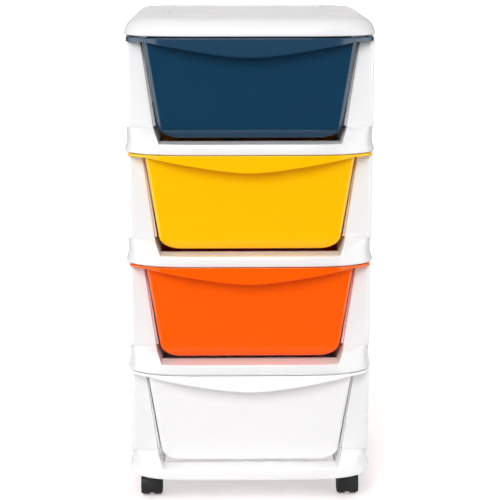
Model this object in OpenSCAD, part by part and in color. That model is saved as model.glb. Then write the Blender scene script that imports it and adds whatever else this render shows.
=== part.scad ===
// Plastic drawer tower: a stack of open frames, wall panels, hanging drawers and swivel casters.
// +X is to the right, the drawers open towards -Y, +Z is up. The origin is on the floor under the
// middle of the footprint.

/* [Tower] */
// Width over the frame rims
body_w = 390; // [340:1:440]
// Depth over the frame rims
body_d = 382; // [380:1:430]
// Height from one frame's rim to the next one's
pitch = 175; // [165:1:220]
// Height of the lowest rim above the floor
rim_floor_h = 45; // [44:1:50]
// Number of drawer tiers
tiers = 4; // [2:1:5]
// Wall thickness of the frames and the cover
shell_t = 2.5; // [2:0.1:3.5]

/* [Frames] */
// Height of a frame from its rim to the deck that the wall panels stand on
frame_h = 39; // [34:1:44]
// Height of the low rail under each drawer, above the rim
rail_h = 16; // [12:1:20]
// How far the rounded front of a frame stands out past the wall panels
nose_d = 35; // [25:1:40]
// How far the rim flares out past the wall panels on each side
flare_w = 4; // [2:0.5:6]
// Half width of the drawer window at rail height
window_low = 139.7; // [120:0.1:150]
// Half width of the drawer window at deck height
window_high = 148.5; // [140:0.1:160]
// Depth of the rail behind the rim
rail_d = 45; // [40:1:55]

/* [Wall panels] */
// Thickness of the wall panels
panel_t = 2.5; // [2:0.1:3.5]
// Half width of the opening between the front returns at the top
opening_top = 166.5; // [160:0.5:172]
// Depth of the inner flange on each return
return_d = 35; // [20:1:45]
// Height of the tongue that goes up into the frame above
tongue_h = 12; // [8:1:12]

/* [Drawers] */
// Half width of a tub at its top
tub_top = 162; // [150:0.5:163]
// Inward slope of the tub's sides, as a ratio of width to height
tub_slope = 0.150; // [0.1:0.005:0.16]
// Inward slope of the tub's front and back
tub_slope_y = 0.10; // [0.05:0.01:0.14]
// Height of the tub's bottom above the rim of its frame
tub_low = 21.7; // [20:0.1:30]
// Wall thickness of a tub
tub_t = 2.2; // [1.8:0.1:3]
// Distance from the rim's front to the tub's front at its top
tub_front = 15; // [14:1:25]
// Thickness of the flange round a tub's top
flange_t = 3.3; // [2.5:0.1:4]

/* [Pull lip] */
// How far the pull lip stands proud of the rims
lip_proud = 2; // [0:0.5:6]
// Drop of the pull lip's apron below the flange, at its middle
apron_drop = 22.5; // [15:0.5:30]
// Slope of the apron's lower edge towards its ends
apron_slope = 0.19; // [0.1:0.01:0.3]
// Half width of the pull lip
lip_half = 188; // [180:1:188]
// Thickness of the apron
apron_t = 2.6; // [2:0.1:3.5]
// How much further up the top drawer's pull lip reaches, towards the cover
top_lip_rise = 3.7; // [0:0.1:4]

/* [Cover] */
// Height of the cover above its rim
cover_h = 27.7; // [26:0.1:40]
// Gap between the top frame line and the cover's rim
cover_lift = 4.3; // [4.3:0.1:6]
// Width of the rounded edge round the cover's top
cover_round = 28; // [20:1:30]
// How much narrower the cover is than the frames
cover_trim = 4; // [0:0.5:6]
// Depth of the shallow tray in the cover's top
tray_h = 1.5; // [1:0.1:1.6]

/* [Casters] */
// Diameter of a caster wheel
wheel_dia = 40; // [36:1:42]
// Width over the pair of wheels
caster_w = 34.8; // [30:0.2:40]
// Distance of the caster stems from the tower's middle plane
caster_x = 160; // [155:1:162]
// Distance of the front stems from the front rim
caster_y = 48; // [46:1:56]
// Offset of the axle behind the stem
trail = 12; // [8:1:12]
// Diameter of a stem
stem_dia = 8; // [6:0.5:9]
// Diameter of an axle
axle_dia = 4; // [3:0.5:5]

/* [Hidden] */
side_names = ["left", "right"];
corner_names = ["front_left", "front_right", "rear_left", "rear_right"];
caster_parts = ["hood", "stem", "axle", "inner_wheel", "outer_wheel"];

$fn = 64;
over = 1;                      // how far a cutter runs past the face it cuts
sink = 0.6;                    // how far a rib goes into the wall it stands on
slip = 0.3;                    // gap between pieces that slide or slot together
corner_steps = 10;             // points along a quarter of an outline, less one
plan_power = 3;                // roundness of the rim's corners: 2 is an ellipse
rim_corner = [135, 75];        // reach of a rim's corner along X and Y
panel_r = 8;                   // corner radius of the wall panels and of the decks they stand on
rim_z = 2;                     // height of the widest line of the rim
flare_h = 20;                  // height over which the rim's flare dies out
wall_x = body_w / 2 - flare_w; // outer face of the side panels
panel_back = body_d - nose_d;  // rear face of the wall panels
front_y = (lip_proud - body_d) / 2;  // the rims' front, with the whole footprint centred

runner_z = pitch - 5.1;        // top of the runners that carry a drawer
runner_t = 2.5;
runner_in = 172;               // inner edge of the runners
flange_z = runner_z + slip;    // underside of a drawer's flange
flange_top = flange_z + flange_t;
flange_x = wall_x - 7.5;       // outer edge of a drawer's flange
flange_back = panel_back - 8;  // rear edge of a drawer's flange
tongue_x = wall_x - 3.8;       // outer face of a panel's tongue
tongue_t = 2.6;
web_x = tongue_x - tongue_t - 0.5;   // outer face of the web beside the tongue
web_t = 2.5;
wall_top = pitch - 0.5;        // top of a panel's outer wall, just below the rim above it
shoulder_h = 4;                // how far the shoulder inside a panel reaches up into the frame above

tub_bottom_t = 2.4;
tub_corner = 7;                // radius of a tub's upright corners
bottom_side = [29, 19.5];      // width and height of the round under a tub's sides
bottom_front = [9, 18];        // width and height of the round under its front and back
tub_h = flange_top - tub_low;
lip_back = nose_d - 0.5;       // where the pull lip ends, just before the wall panels
tub_back = panel_back - 14;    // rear of a tub at its top
apron_soft = 9;                // how softly the apron's lower edge turns at its middle

wheel_r = wheel_dia / 2;
wheel_gap = 7.4;               // space between the two wheels of a caster
wheel_w = (caster_w - wheel_gap) / 2;
hood_r = [wheel_r + 1, wheel_r + 2.6];
boss_z = 50;                   // top of the hood's boss, where a caster turns
grip_h = 8;                    // length of a stem inside the hood's boss
socket_h = 24;                 // depth of the base frame's sockets
run = 0.05;                    // radial clearance of a running fit

white = [0.96, 0.96, 0.97];
drawer_colors = [[0.95, 0.95, 0.96], [1, 0.38, 0], [1, 0.77, 0], [0.1, 0.22, 0.33]];

// ---- outlines -------------------------------------------------------------------------------

// Rounded outline seen from above, counter-clockwise. Its corners are superellipses of reach a by b.
function outline(hw, y0, y1, a, b, n = 2, steps = corner_steps) =
    let (c = [for (i = [0:steps]) let (t = 90 * i / steps) [a * pow(cos(t), 2 / n), b * pow(sin(t), 2 / n)]],
         r = [for (i = [steps:-1:0]) c[i]])
    concat([for (p = r) [hw - a + p.x, y0 + b - p.y]],
           [for (p = c) [hw - a + p.x, y1 - b + p.y]],
           [for (p = r) [a - hw - p.x, y1 - b + p.y]],
           [for (p = c) [a - hw - p.x, y0 + b - p.y]]);

function mix(a, b, u) = a + (b - a) * u;
function clamp(u) = max(0, min(1, u));
// Quarter round: 0 at u = 0, rising to 1 at u = 1 with an upright end
function quarter(u) = 1 - sqrt(1 - pow(clamp(u), 2));

// A frame's outline at height z above its rim, pulled in by t
function frame_outline(z, t = 0) =
    let (u = quarter((z - rim_z) / (frame_h - rim_z)),
         roll = z < rim_z ? 0.8 * quarter((rim_z - z) / rim_z) : 0,
         flare = flare_w * pow(1 - clamp((z - rim_z) / flare_h), 2))
    outline(wall_x + flare - roll - t, nose_d * u + roll + t, body_d - nose_d * u - roll - t,
            mix(rim_corner.x, panel_r, u) - t, mix(rim_corner.y, panel_r, u) - t,
            mix(plan_power, 2, u));

// The cover's outline at height z above its rim, pulled in by t
function cover_outline(z, t = 0) =
    let (s = cover_round * quarter(z / cover_h) + t, half = (body_w - cover_trim) / 2)
    outline(half - s, s, body_d - s, rim_corner.x - s, rim_corner.y - s, plan_power);

// A tub's outline at height z above its underside, pulled in by t
function tub_outline(z, t = 0) =
    let (side = tub_slope * (tub_h - z) + bottom_side.x * quarter(1 - z / bottom_side.y) + t,
         end = tub_slope_y * (tub_h - z) + bottom_front.x * quarter(1 - z / bottom_front.y) + t)
    outline(tub_top - side, tub_front + end, tub_back - end, tub_corner - t, tub_corner - t, 2, 6);

// Lower edge of the pull lip's apron at x
function apron_low(x) =
    flange_z - max(0, apron_drop - (sqrt(pow(apron_soft, 2) + pow(apron_slope * x, 2)) - apron_soft));

// Outline of the pull lip, pulled in by t
function lip_outline(t = 0) =
    outline(body_w / 2 - t, t - lip_proud, body_d, rim_corner.x - t, rim_corner.y - t, plan_power, 12);

// Solid skinned over outlines: rows is a list of [height, outline]
module loft(rows) {
    n = len(rows[0][1]);
    m = len(rows);
    polyhedron(
        points = [for (r = rows, p = r[1]) [p.x, p.y, r[0]]],
        faces = concat(
            [[for (i = [0:n - 1]) i]],
            [[for (i = [n - 1:-1:0]) (m - 1) * n + i]],
            [for (k = [0:m - 2], i = [0:n - 1]) let (j = (i + 1) % n)
                [k * n + i, (k + 1) * n + i, (k + 1) * n + j, k * n + j]]));
}

// Puts a piece that is measured from the rims' front into the tower's own frame, on tier k's rim
module on_tier(k = 1) translate([0, front_y, rim_floor_h + pitch * (k - 1)]) children();

// Plate in the XZ plane, from y0 to y1
module upright(points, y0, y1)
    translate([0, y1, 0]) rotate([90, 0, 0]) linear_extrude(y1 - y0) polygon(points);

// Both halves of something that is the same left and right
module both_sides() {
    children();
    mirror([1, 0, 0]) children();
}

// ---- frames ---------------------------------------------------------------------------------

// The window that a drawer passes through, grown by t
module drawer_window(t) {
    upright([[-window_low - t, rail_h - t], [window_low + t, rail_h - t],
             [window_high + t, frame_h + over], [-window_high - t, frame_h + over]],
            -over - lip_proud, body_d - rail_d + t);
    translate([-window_low - t, rail_d - t, -over])
        cube([2 * (window_low + t), body_d - 2 * (rail_d - t), rail_h + 2 * over]);
}

// Webs beside the panels' tongues and the stops that rest on them, from height low to high
module tongue_channels(low, high) {
    web_y = [rail_d, body_d - rail_d];
    stop_y = [70, body_d - 70];
    stop_z = tongue_h + 0.2;
    stop_t = 2;
    both_sides() {
        translate([web_x - web_t, web_y[0], low]) cube([web_t, web_y[1] - web_y[0], high - low]);
        translate([web_x - web_t, stop_y[0], stop_z])
            cube([wall_x - 1 - web_x + web_t, stop_y[1] - stop_y[0], stop_t]);
    }
}

// Ridge on the deck that holds the foot of a side panel
module deck_ridge() {
    ridge_y = nose_d + 20;
    ridge = [2.6, body_d - 2 * ridge_y, 5];
    both_sides() translate([wall_x - panel_t - slip - ridge.x, ridge_y, frame_h - over])
        cube([ridge.x, ridge.y, ridge.z + over]);
}

module frame_shell() {
    outer = [0, 1, rim_z, 6, 11, 16, 22, 28, 32, 35, 37, 38.3, frame_h];
    inner = [-over, 5, 12, 18, 24, 29, 33, frame_h - shell_t];
    difference() {
        loft([for (z = outer) [z, frame_outline(z)]]);
        drawer_window(0);
        difference() {
            loft([for (z = inner) let (at_z = max(z, rim_z) + shell_t * max(z, 0) / frame_h)
                [z, frame_outline(at_z, shell_t)]]);
            drawer_window(shell_t);
        }
    }
    tongue_channels(0, frame_h - 2);
    deck_ridge();
}

module divider_frame(k) color(white) on_tier(k + 1) frame_shell();

// Positions of the four caster stems
function stem_at(i) = [(i % 2 == 0 ? -1 : 1) * caster_x, i < 2 ? caster_y : body_d - caster_y];

module base_frame() {
    boss_low = boss_z + slip - rim_floor_h;
    boss_r = 9;
    rib_t = 2.5;
    rib_len = [28, 36];
    rib_low = boss_low + 4;
    rib_h = frame_h - 2 - rib_low;
    color(white) on_tier(1) difference() {
        union() {
            frame_shell();
            for (i = [0:3]) translate(stem_at(i)) {
                translate([0, 0, boss_low]) cylinder(r = boss_r, h = frame_h - 2 - boss_low);
                translate([-rib_len.x / 2, -rib_t / 2, rib_low]) cube([rib_len.x, rib_t, rib_h]);
                translate([-rib_t / 2, -rib_len.y / 2, rib_low]) cube([rib_t, rib_len.y, rib_h]);
            }
        }
        for (i = [0:3]) translate(stem_at(i)) translate([0, 0, boss_low - over])
            cylinder(d = stem_dia + 2 * run, h = socket_h + over);
    }
}

// ---- cover ----------------------------------------------------------------------------------

module top_cover() {
    steps = [0, 0.15, 0.33, 0.5, 0.66, 0.8, 0.9, 0.97, 1];
    inside = [0, 0.3, 0.55, 0.78, 0.93, 1];
    tray = [125, 40];             // the tray's half width, and its distance from the front
    tray_r = 14;
    rib = [2, body_d - 84, 7];    // a rib under the cover's top: its width, length and height
    rib_pitch = 100;
    rib_z = cover_lift + cover_h - shell_t - rib.z;
    color(white) on_tier(tiers + 1) {
        translate([0, 0, cover_lift]) difference() {
            loft([for (u = steps) [cover_h * u, cover_outline(cover_h * u)]]);
            loft([for (u = inside) let (z = (cover_h - shell_t) * u)
                [u == 0 ? -over : z, cover_outline(cover_h * u, shell_t)]]);
            translate([0, 0, cover_h - tray_h]) linear_extrude(tray_h + over)
                polygon(outline(tray[0], tray[1], body_d - tray[1], tray_r, tray_r));
        }
        tongue_channels(0, 16);
        for (i = [-1:1])
            translate([i * rib_pitch - rib.x / 2, (body_d - rib.y) / 2, rib_z])
                cube([rib.x, rib.y, rib.z + sink]);
    }
}

// ---- wall panels ----------------------------------------------------------------------------

// Half width of the opening at height z
function opening(z) = mix(window_high, opening_top, (z - frame_h) / (runner_z - frame_h));

// Outline of the wall panels seen from above, pulled in by t
function panel_outline(t = 0) =
    outline(wall_x - t, nose_d + t, panel_back - t, panel_r - t, panel_r - t, 2, 6);

// The right-hand wall with its two returns, which narrow upwards
module panel_wall() {
    difference() {
        translate([0, 0, frame_h]) linear_extrude(wall_top - frame_h) difference() {
            polygon(panel_outline());
            polygon(panel_outline(panel_t));
        }
        upright([[-wall_x - over, frame_h - over], [opening(frame_h - over), frame_h - over],
                 [opening(runner_z), runner_z], [flange_x + 1, runner_z], [flange_x + 1, wall_top + over],
                 [-wall_x - over, wall_top + over]],
                nose_d - over, panel_back + over);
    }
}

// Inner flange along the front return's edge
module return_flange()
    upright([[opening(frame_h), frame_h], [opening(frame_h) + 2, frame_h],
             [opening(runner_z) + 2, runner_z], [opening(runner_z), runner_z]],
            nose_d, nose_d + return_d);

module right_panel_shape() {
    len_y = panel_back - nose_d;
    gusset_n = 5;
    gusset_gap = len_y / (gusset_n + 1);
    inner_x = wall_x - panel_t;
    tongue_y = nose_d + 22;
    tongue_d = body_d - 2 * tongue_y;
    panel_wall();
    return_flange();
    translate([0, body_d, 0]) mirror([0, 1, 0]) return_flange();
    translate([runner_in, nose_d + 1, runner_z - runner_t])
        cube([inner_x - runner_in - panel_r / 2, len_y - 2, runner_t]);
    translate([runner_in, nose_d + panel_r, runner_z - runner_t])
        cube([inner_x - runner_in + 1, len_y - 2 * panel_r, runner_t]);
    translate([tongue_x - tongue_t, tongue_y, runner_z - 1])
        cube([wall_x - 1 - tongue_x + tongue_t, tongue_d, pitch + shoulder_h - runner_z + 1]);
    translate([tongue_x - tongue_t, tongue_y, pitch - over])
        cube([tongue_t, tongue_d, tongue_h + over]);
    for (i = [1:gusset_n])
        upright([[runner_in + 3, runner_z - 1], [inner_x + 1, runner_z - 1], [inner_x + 1, runner_z - 26]],
                nose_d + gusset_gap * i - 1, nose_d + gusset_gap * i + 1);
}

module right_panel(k) color(white) on_tier(k) right_panel_shape();
module left_panel(k) color(white) on_tier(k) mirror([1, 0, 0]) right_panel_shape();

// Panel that fills the rear opening between the side panels' returns
module back_panel(k) {
    edge = slip;                  // gap to the returns' inner flanges
    lap = [[opening(frame_h) - edge, frame_h], [opening(runner_z) - edge, runner_z]];
    hook_d = 14;
    side_t = 2;
    color(white) on_tier(k) {
        upright([[-lap[0].x, lap[0].y], [lap[0].x, lap[0].y], lap[1], [-lap[1].x, lap[1].y]],
                panel_back - panel_t, panel_back);
        both_sides() upright([[lap[0].x - side_t, lap[0].y], lap[0], lap[1], [lap[1].x - side_t, lap[1].y]],
                             panel_back - hook_d, panel_back);
        translate([-lap[1].x, panel_back - panel_t, runner_z - over])
            cube([2 * lap[1].x, panel_t, pitch + tongue_h - runner_z + over]);
    }
}

// ---- drawers --------------------------------------------------------------------------------

module tub() {
    outer = [0, 0.5, 1.5, 3, 6, 10, 14, bottom_front.y, bottom_side.y, 60, 105, tub_h];
    translate([0, 0, tub_low]) loft([for (z = outer) [z, tub_outline(z)]]);
}

module tub_hollow() {
    inner = [0, 0.5, 1.5, 3, 6, 10, 14, bottom_front.y, bottom_side.y, 60, 105,
             tub_h - tub_bottom_t, tub_h + over];
    translate([0, 0, tub_low])
        loft([for (z = inner) [z < tub_h ? z + tub_bottom_t : z, tub_outline(z, tub_t)]]);
}

// The apron of the pull lip: a curved wall with a bowed lower edge, up to height top
module apron(top) {
    step = 8;
    xs = [for (x = [-lip_half:step:lip_half]) x];
    intersection() {
        translate([0, 0, tub_low]) linear_extrude(top - tub_low) difference() {
            polygon(lip_outline());
            polygon(lip_outline(apron_t));
        }
        upright(concat([for (x = xs) [x, apron_low(x)]], [[lip_half, top], [-lip_half, top]]),
                -lip_proud - over, lip_back);
    }
}

module flange() {
    translate([0, 0, flange_z]) linear_extrude(flange_t) {
        intersection() {
            polygon(lip_outline());
            translate([-lip_half, -lip_proud - over])
                square([2 * lip_half, lip_back + lip_proud + over]);
        }
        polygon(outline(flange_x, nose_d - 3, flange_back, 2, 2));
    }
}

module drawer(k) color(drawer_colors[(k - 1) % len(drawer_colors)]) on_tier(k) {
    difference() {
        union() {
            tub();
            flange();
        }
        tub_hollow();
    }
    apron(k == tiers ? flange_top + top_lip_rise : flange_top);
}

// ---- casters --------------------------------------------------------------------------------

// Places a caster piece with its stem's axis on the Z axis and its floor at z = 0
module at_caster(i) translate([stem_at(i).x, stem_at(i).y + front_y, 0]) children();

// Lays a shape that is w long along Z across the axle, with its middle at the stem. Its X axis turns to +Y
module across_axle(w) translate([-w / 2, trail, wheel_r]) rotate([90, 0, 90]) children();

// Sector of a ring, w long along Z, from angle a0 to a1
module ring_sector(r0, r1, w, a0, a1)
    rotate([0, 0, a0]) rotate_extrude(angle = a1 - a0) translate([r0, 0]) square([r1 - r0, w]);

module caster_hood(i) {
    web_w = 6.2;
    hub_r = 7;
    boss_r = 8.5;
    boss_low = wheel_r + 4;
    cover_w = caster_w - 0.8;
    back_end = 35;                // where the hood ends, in degrees above the axle: at its back
    front_end = 210;              // and, past the top, at its front
    color([0.12, 0.12, 0.12]) at_caster(i) difference() {
        union() {
            across_axle(cover_w) ring_sector(hood_r[0] - 0.5, hood_r[1], cover_w, back_end, front_end);
            across_axle(web_w + 1) ring_sector(3, hood_r[0] + 0.5, web_w + 1, back_end + 1, front_end - 1);
            across_axle(web_w + 1) cylinder(r = hub_r, h = web_w + 1);
            translate([0, 0, boss_low]) cylinder(r = boss_r, h = boss_z - boss_low);
        }
        // room for the wheels
        for (s = [-1, 1]) translate([s * (web_w + caster_w) / 2, 0, 0])
            across_axle(caster_w) cylinder(r = hood_r[0], h = caster_w);
        // bore for the axle and socket for the stem
        across_axle(caster_w) cylinder(d = axle_dia, h = caster_w);
        translate([0, 0, boss_z - grip_h]) cylinder(d = stem_dia, h = grip_h + over);
    }
}

module caster_stem(i) {
    groove_z = boss_z + 18;
    groove = [0.6, 1.6];          // depth and height of the groove that holds the stem in its socket
    tip_h = 1;
    body_top = boss_z + socket_h - 2;
    color([0.7, 0.7, 0.72]) at_caster(i) difference() {
        union() {
            translate([0, 0, boss_z - grip_h]) cylinder(d = stem_dia, h = body_top - boss_z + grip_h);
            translate([0, 0, body_top]) cylinder(d1 = stem_dia, d2 = stem_dia - 2 * tip_h, h = tip_h);
        }
        translate([0, 0, groove_z]) rotate_extrude()
            translate([stem_dia / 2 - groove.x, 0]) square([groove.x + over, groove.y]);
    }
}

module caster_axle(i) color([0.7, 0.7, 0.72]) at_caster(i)
    across_axle(caster_w - 4) cylinder(d = axle_dia, h = caster_w - 4);

// One wheel: a tread with a round outer shoulder, a domed face and a hub
module wheel_shape() {
    shoulder = 5;
    face = 1.6;                   // depth of the face inside the tread's edge
    hub_r = 5.5;
    cap_t = 1.5;                  // thickness of the hub's cap over the axle's end
    bore_r = axle_dia / 2 + run;
    steps = 8;
    rotate_extrude() polygon(concat(
        [[bore_r, 0], [wheel_r - 1, 0], [wheel_r, 1]],
        [for (i = [0:steps]) let (t = 90 * i / steps)
            [wheel_r - shoulder * (1 - cos(t)), wheel_w - shoulder + shoulder * sin(t)]],
        [[wheel_r - shoulder - 1, wheel_w - face], [hub_r + 1.5, wheel_w - 1.2], [hub_r, wheel_w - 0.3],
         [0, wheel_w - 0.1], [0, wheel_w - cap_t], [bore_r, wheel_w - cap_t]]));
}

module caster_wheel(i, s) color([0.08, 0.08, 0.08]) at_caster(i) translate([0, trail, wheel_r])
    rotate([0, s * 90, 0]) translate([0, 0, wheel_gap / 2]) wheel_shape();

// The side of the tower's middle plane that caster i stands on
function outward(i) = i % 2 == 0 ? -1 : 1;

// ---- the tower ------------------------------------------------------------------------------

top_cover();
base_frame();
for (k = [1:tiers - 1])
    divider_frame(k);
for (k = [1:tiers])
    left_panel(k);
for (k = [1:tiers])
    right_panel(k);
for (k = [1:tiers])
    back_panel(k);
for (k = [1:tiers])
    drawer(k);
for (i = [0:3])
    caster_hood(i);
for (i = [0:3])
    caster_stem(i);
for (i = [0:3])
    caster_axle(i);
for (i = [0:3])
    caster_wheel(i, -outward(i));
for (i = [0:3])
    caster_wheel(i, outward(i));
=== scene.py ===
"""Plastic drawer tower: glossy moulded frames, hanging drawers, wall panels and twin-wheel casters."""
import math

import bmesh
import bpy
import numpy as np
from mathutils import Matrix, Vector


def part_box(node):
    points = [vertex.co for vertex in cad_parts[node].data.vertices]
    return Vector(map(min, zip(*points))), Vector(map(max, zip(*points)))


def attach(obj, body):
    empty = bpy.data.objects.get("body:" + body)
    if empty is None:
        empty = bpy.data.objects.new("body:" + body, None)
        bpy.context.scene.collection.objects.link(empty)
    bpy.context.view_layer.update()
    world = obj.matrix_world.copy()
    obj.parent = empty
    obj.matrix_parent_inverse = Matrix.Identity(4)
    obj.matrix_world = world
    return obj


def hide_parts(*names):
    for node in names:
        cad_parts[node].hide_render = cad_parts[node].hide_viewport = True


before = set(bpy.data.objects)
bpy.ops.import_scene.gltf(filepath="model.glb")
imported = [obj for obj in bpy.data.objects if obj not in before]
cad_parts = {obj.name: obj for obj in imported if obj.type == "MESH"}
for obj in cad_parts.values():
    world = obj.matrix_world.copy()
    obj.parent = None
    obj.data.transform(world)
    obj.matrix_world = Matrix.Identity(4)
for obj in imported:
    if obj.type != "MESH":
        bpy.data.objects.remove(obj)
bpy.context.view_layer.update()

# ---- sizes in millimetres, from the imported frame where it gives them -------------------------
# Inside the builders x is to the right, y runs back from the rims' front and z up from a tier's rim.
MM = 0.001
base_low, base_high = (np.array(corner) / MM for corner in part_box("base_frame"))
WIDTH, DEPTH = (base_high - base_low)[:2]
FRONT_Y = base_low[1]                     # where the rims' front lies in the tower
RIM_FLOOR = base_low[2]                   # height of the lowest rim
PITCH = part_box("divider_frame_1")[0].z / MM - RIM_FLOOR
TIERS = 4
TIER_NAMES = ["bottom", "second", "third", "top"]
SIDES = {"left": -1, "right": 1}
CORNERS = ["front_left", "front_right", "rear_left", "rear_right"]

SHELL = 2.5                               # wall of the frames, the cover and the panels
RIM_CORNER = (135, 75)                    # reach of a rim's corner along x and y
PANEL_R = 8                               # corner radius of the wall panels and of the decks they stand on
RIM_POWER = 3                             # roundness of the rim's corners: 2 is an ellipse
RIM_Z = 2                                 # height of the rim's widest line
FRAME_H = 39                              # rim to deck
RAIL_H = 16                               # rim to the ledge under a drawer
RAIL_D = 45
NOSE = 35
FLARE, FLARE_H = 4, 20
WALL_X = WIDTH / 2 - FLARE
PANEL_REAR = DEPTH - NOSE
WINDOW = (139.7, 148.5)                   # the drawer window's half width at the ledge and at the deck
OPENING_TOP = 166.5                       # half width between the panels' returns, at the runners
RUNNER_Z = PITCH - 5.1
RETURN_D = 35
BEAD = (3.4, 1.6)                         # how far the bead in the opening stands out, low and high
RUNNER_X, RUNNER_T = 172, 2.5             # a runner's inner edge and its thickness
WALL_TOP = PITCH - 0.5                    # top of a side panel, just below the rim above it
SHOULDER_H = 4                            # how far the shoulder inside it reaches into that frame
TONGUE_X, TONGUE_T, TONGUE_H = WALL_X - 3.8, 2.6, 12

FLANGE_Z = RUNNER_Z + 0.3                 # underside of a drawer's flange
FLANGE_T = 3.3
FLANGE_TOP = FLANGE_Z + FLANGE_T
FLANGE_X = WALL_X - 7.5
FLANGE_REAR = PANEL_REAR - 8
LIP_PROUD, LIP_HALF, LIP_REAR = 2, 188, NOSE - 0.5
APRON_T, APRON_DROP, APRON_SLOPE, APRON_SOFT = 2.6, 22.5, 0.19, 9
LIP_RISE, TOP_LIP_RISE = 0.9, 3.7         # how far a lip stands above its flange, and the top drawer's
TUB_LOW, TUB_TOP, TUB_FRONT, TUB_REAR = 21.7, 162, 15, PANEL_REAR - 14
TUB_H = FLANGE_TOP - TUB_LOW
TUB_SLOPE = (0.150, 0.10)                 # inward slope of the sides and of the ends
TUB_T, TUB_FLOOR, TUB_CORNER = 2.2, 2.4, 7
FOOT_SIDE, FOOT_END = (29, 19.5), (9, 18)  # width and height of the rounds under a tub

COVER_H, COVER_LIFT, COVER_ROUND, COVER_HALF = 27.7, 4.3, 28, WIDTH / 2 - 2
TRAY_HALF, TRAY_EDGE, TRAY_CORNER, TRAY_H = 125, 40, 14, 1.5

STEM_X, STEM_Y = 160, 48                  # caster stems, from the middle plane and the front rim
TRAIL, WHEEL_R, WHEEL_W, WHEEL_GAP, CASTER_W = 12, 20, 13.7, 7.4, 34.8
HOOD_R, HOOD_SPAN = (21, 22.6), (35, 210)  # the guard's radii, and where it starts and ends, in degrees
HUB_R, WEB_T = 7, 6.2                     # the hub that holds the axle, and the plate between the wheels
BOSS_R, BOSS_Z, STEM_R = 8.5, 50, 4       # the boss on the guard, its top above the floor, and the stem
ROUND = 0.8                               # radius of the moulded edges


def mix(a, b, u):
    return a + (b - a) * u


def quarter(u):
    """Quarter round: 0 at 0, rising to 1 at 1 with an upright end."""
    return 1 - np.sqrt(1 - np.clip(u, 0, 1) ** 2)


def turn(steps):
    """Angles of a quarter turn, in radians."""
    return np.linspace(0, math.pi / 2, steps + 1)


# ---- outlines ---------------------------------------------------------------------------------
class Outline:
    """The right half of a rounded outline seen from above, from the middle of its front to the
    middle of its rear. Its corners are superellipses. marks holds how far along it lie the places
    that pieces share."""

    def __init__(self, half, front, rear, reach, power=2.0):
        s = np.linspace(0, 1, 121)
        t = math.pi / 2 * s * s * (3 - 2 * s)
        across = half - reach[0] + reach[0] * np.cos(t) ** (2 / power)
        along = reach[1] * (1 - np.sin(t) ** (2 / power))
        self.x = np.concatenate([[0], across[::-1], across, [0]])
        self.y = np.concatenate([[front], front + along[::-1], rear - along, [rear]])
        self.run = np.concatenate([[0], np.cumsum(np.hypot(np.diff(self.x), np.diff(self.y)))])
        places = {"front": 0, "front_turn": 1, "front_corner": 61, "front_end": 121,
                  "rear_start": 122, "rear_corner": 182, "rear_turn": 242, "rear": 243}
        self.marks = {name: self.run[i] for name, i in places.items()}
        self.marks["side"] = (self.marks["front_end"] + self.marks["rear_start"]) / 2

    def reach_x(self, x):
        """How far along the outline's front half x is reached."""
        return np.interp(x, self.x[:122], self.run[:122])

    def reach_y(self, y):
        """How far along the outline's front corner y is reached."""
        return np.interp(y, self.y[1:122], self.run[1:122])

    def walk(self, stops, counts, z):
        """Points at height z, with an even number of steps between each two stops."""
        stops = [self.marks.get(stop, stop) for stop in stops]
        where = [stops[0]]
        for start, end, count in zip(stops, stops[1:], counts):
            where += list(np.linspace(start, end, count + 1)[1:])
        return np.column_stack([np.interp(where, self.run, self.x), np.interp(where, self.run, self.y),
                                np.full(len(where), float(z))])


def lerp_rows(start, end, fractions):
    """Rows of points between two rows."""
    return [start + (end - start) * f for f in fractions]


# ---- meshes -----------------------------------------------------------------------------------
class Skin:
    """Gathers grids of points, in millimetres, into one mesh."""

    def __init__(self):
        self.points, self.faces, self.count = [], [], 0

    def add(self, points, faces):
        self.points.append(np.asarray(points, float))
        self.faces += [[i + self.count for i in face] for face in faces]
        self.count += len(points)

    def grid(self, rows, flip=False, wrap=False):
        """Rows of points. The faces look along the step between columns x the step between rows."""
        rows = np.asarray(rows, float)
        m, n = rows.shape[:2]
        faces = []
        for i in range(m - 1):
            for j in range(n if wrap else n - 1):
                k = (j + 1) % n
                face = [i * n + j, i * n + k, (i + 1) * n + k, (i + 1) * n + j]
                faces.append(face[::-1] if flip else face)
        self.add(rows.reshape(-1, 3), faces)

    def mirrored(self):
        """Adds the left half to a right half."""
        points = np.concatenate(self.points) * (-1, 1, 1)
        self.add(points, [face[::-1] for face in self.faces])
        return self

    def mesh(self, name, weld=0.01):
        mesh = bpy.data.meshes.new(name)
        mesh.from_pydata((np.concatenate(self.points) * MM).tolist(), [], self.faces)
        bm = bmesh.new()
        bm.from_mesh(mesh)
        bmesh.ops.remove_doubles(bm, verts=bm.verts, dist=weld * MM)
        bmesh.ops.dissolve_degenerate(bm, edges=bm.edges, dist=weld * MM / 2)
        bm.to_mesh(mesh)
        bm.free()
        mesh.update()
        return mesh


def new_object(name, mesh):
    thing = bpy.data.objects.new(name, mesh)
    bpy.context.scene.collection.objects.link(thing)
    return thing


def settled(mesh, *modifiers):
    """A plain mesh, once these modifiers have worked on it. Each is a type and its settings."""
    thing = new_object("work", mesh)
    for kind, settings in modifiers:
        modifier = thing.modifiers.new(kind.lower(), kind)
        for key, value in settings.items():
            setattr(modifier, key, value)
    return taken(thing)


def taken(thing):
    """The evaluated mesh of a working object, which is then removed."""
    bpy.context.view_layer.update()
    seen = thing.evaluated_get(bpy.context.evaluated_depsgraph_get())
    result = bpy.data.meshes.new_from_object(seen)
    bpy.data.objects.remove(thing)
    return result


def bevel(width=ROUND, angle=35, segments=3):
    return ("BEVEL", {"width": width * MM, "segments": segments, "limit_method": "ANGLE",
                      "angle_limit": math.radians(angle), "use_clamp_overlap": True})


def wall():
    return ("SOLIDIFY", {"thickness": SHELL * MM, "offset": -1})


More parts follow.
